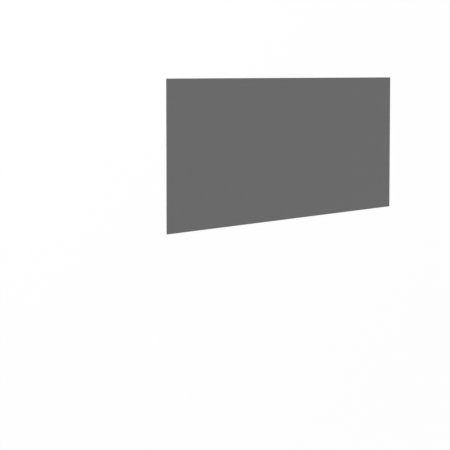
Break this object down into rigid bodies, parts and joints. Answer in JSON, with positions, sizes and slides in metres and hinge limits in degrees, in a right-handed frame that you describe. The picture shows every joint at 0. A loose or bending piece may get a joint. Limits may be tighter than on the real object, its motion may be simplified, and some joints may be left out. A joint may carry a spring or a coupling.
{
  "type": "privacy filter",
  "caption": "Frameless privacy filter: a thin flat rectangle of dark see-through louvre film that covers a widescreen display and narrows its viewing angle.",
  "frame": {"origin": "middle of the back face, on the surface that the sheet lies on", "axes": "+X along the width, +Y towards the top edge as the filter is used, +Z out of the viewing face"},
  "size_m": [0.531, 0.299, 0.0005],
  "materials": {
    "tinted_film": "satin"
  },
  "bodies": {
    "root": {"filter_sheet": "tinted_film"}
  },
  "joints": []
}
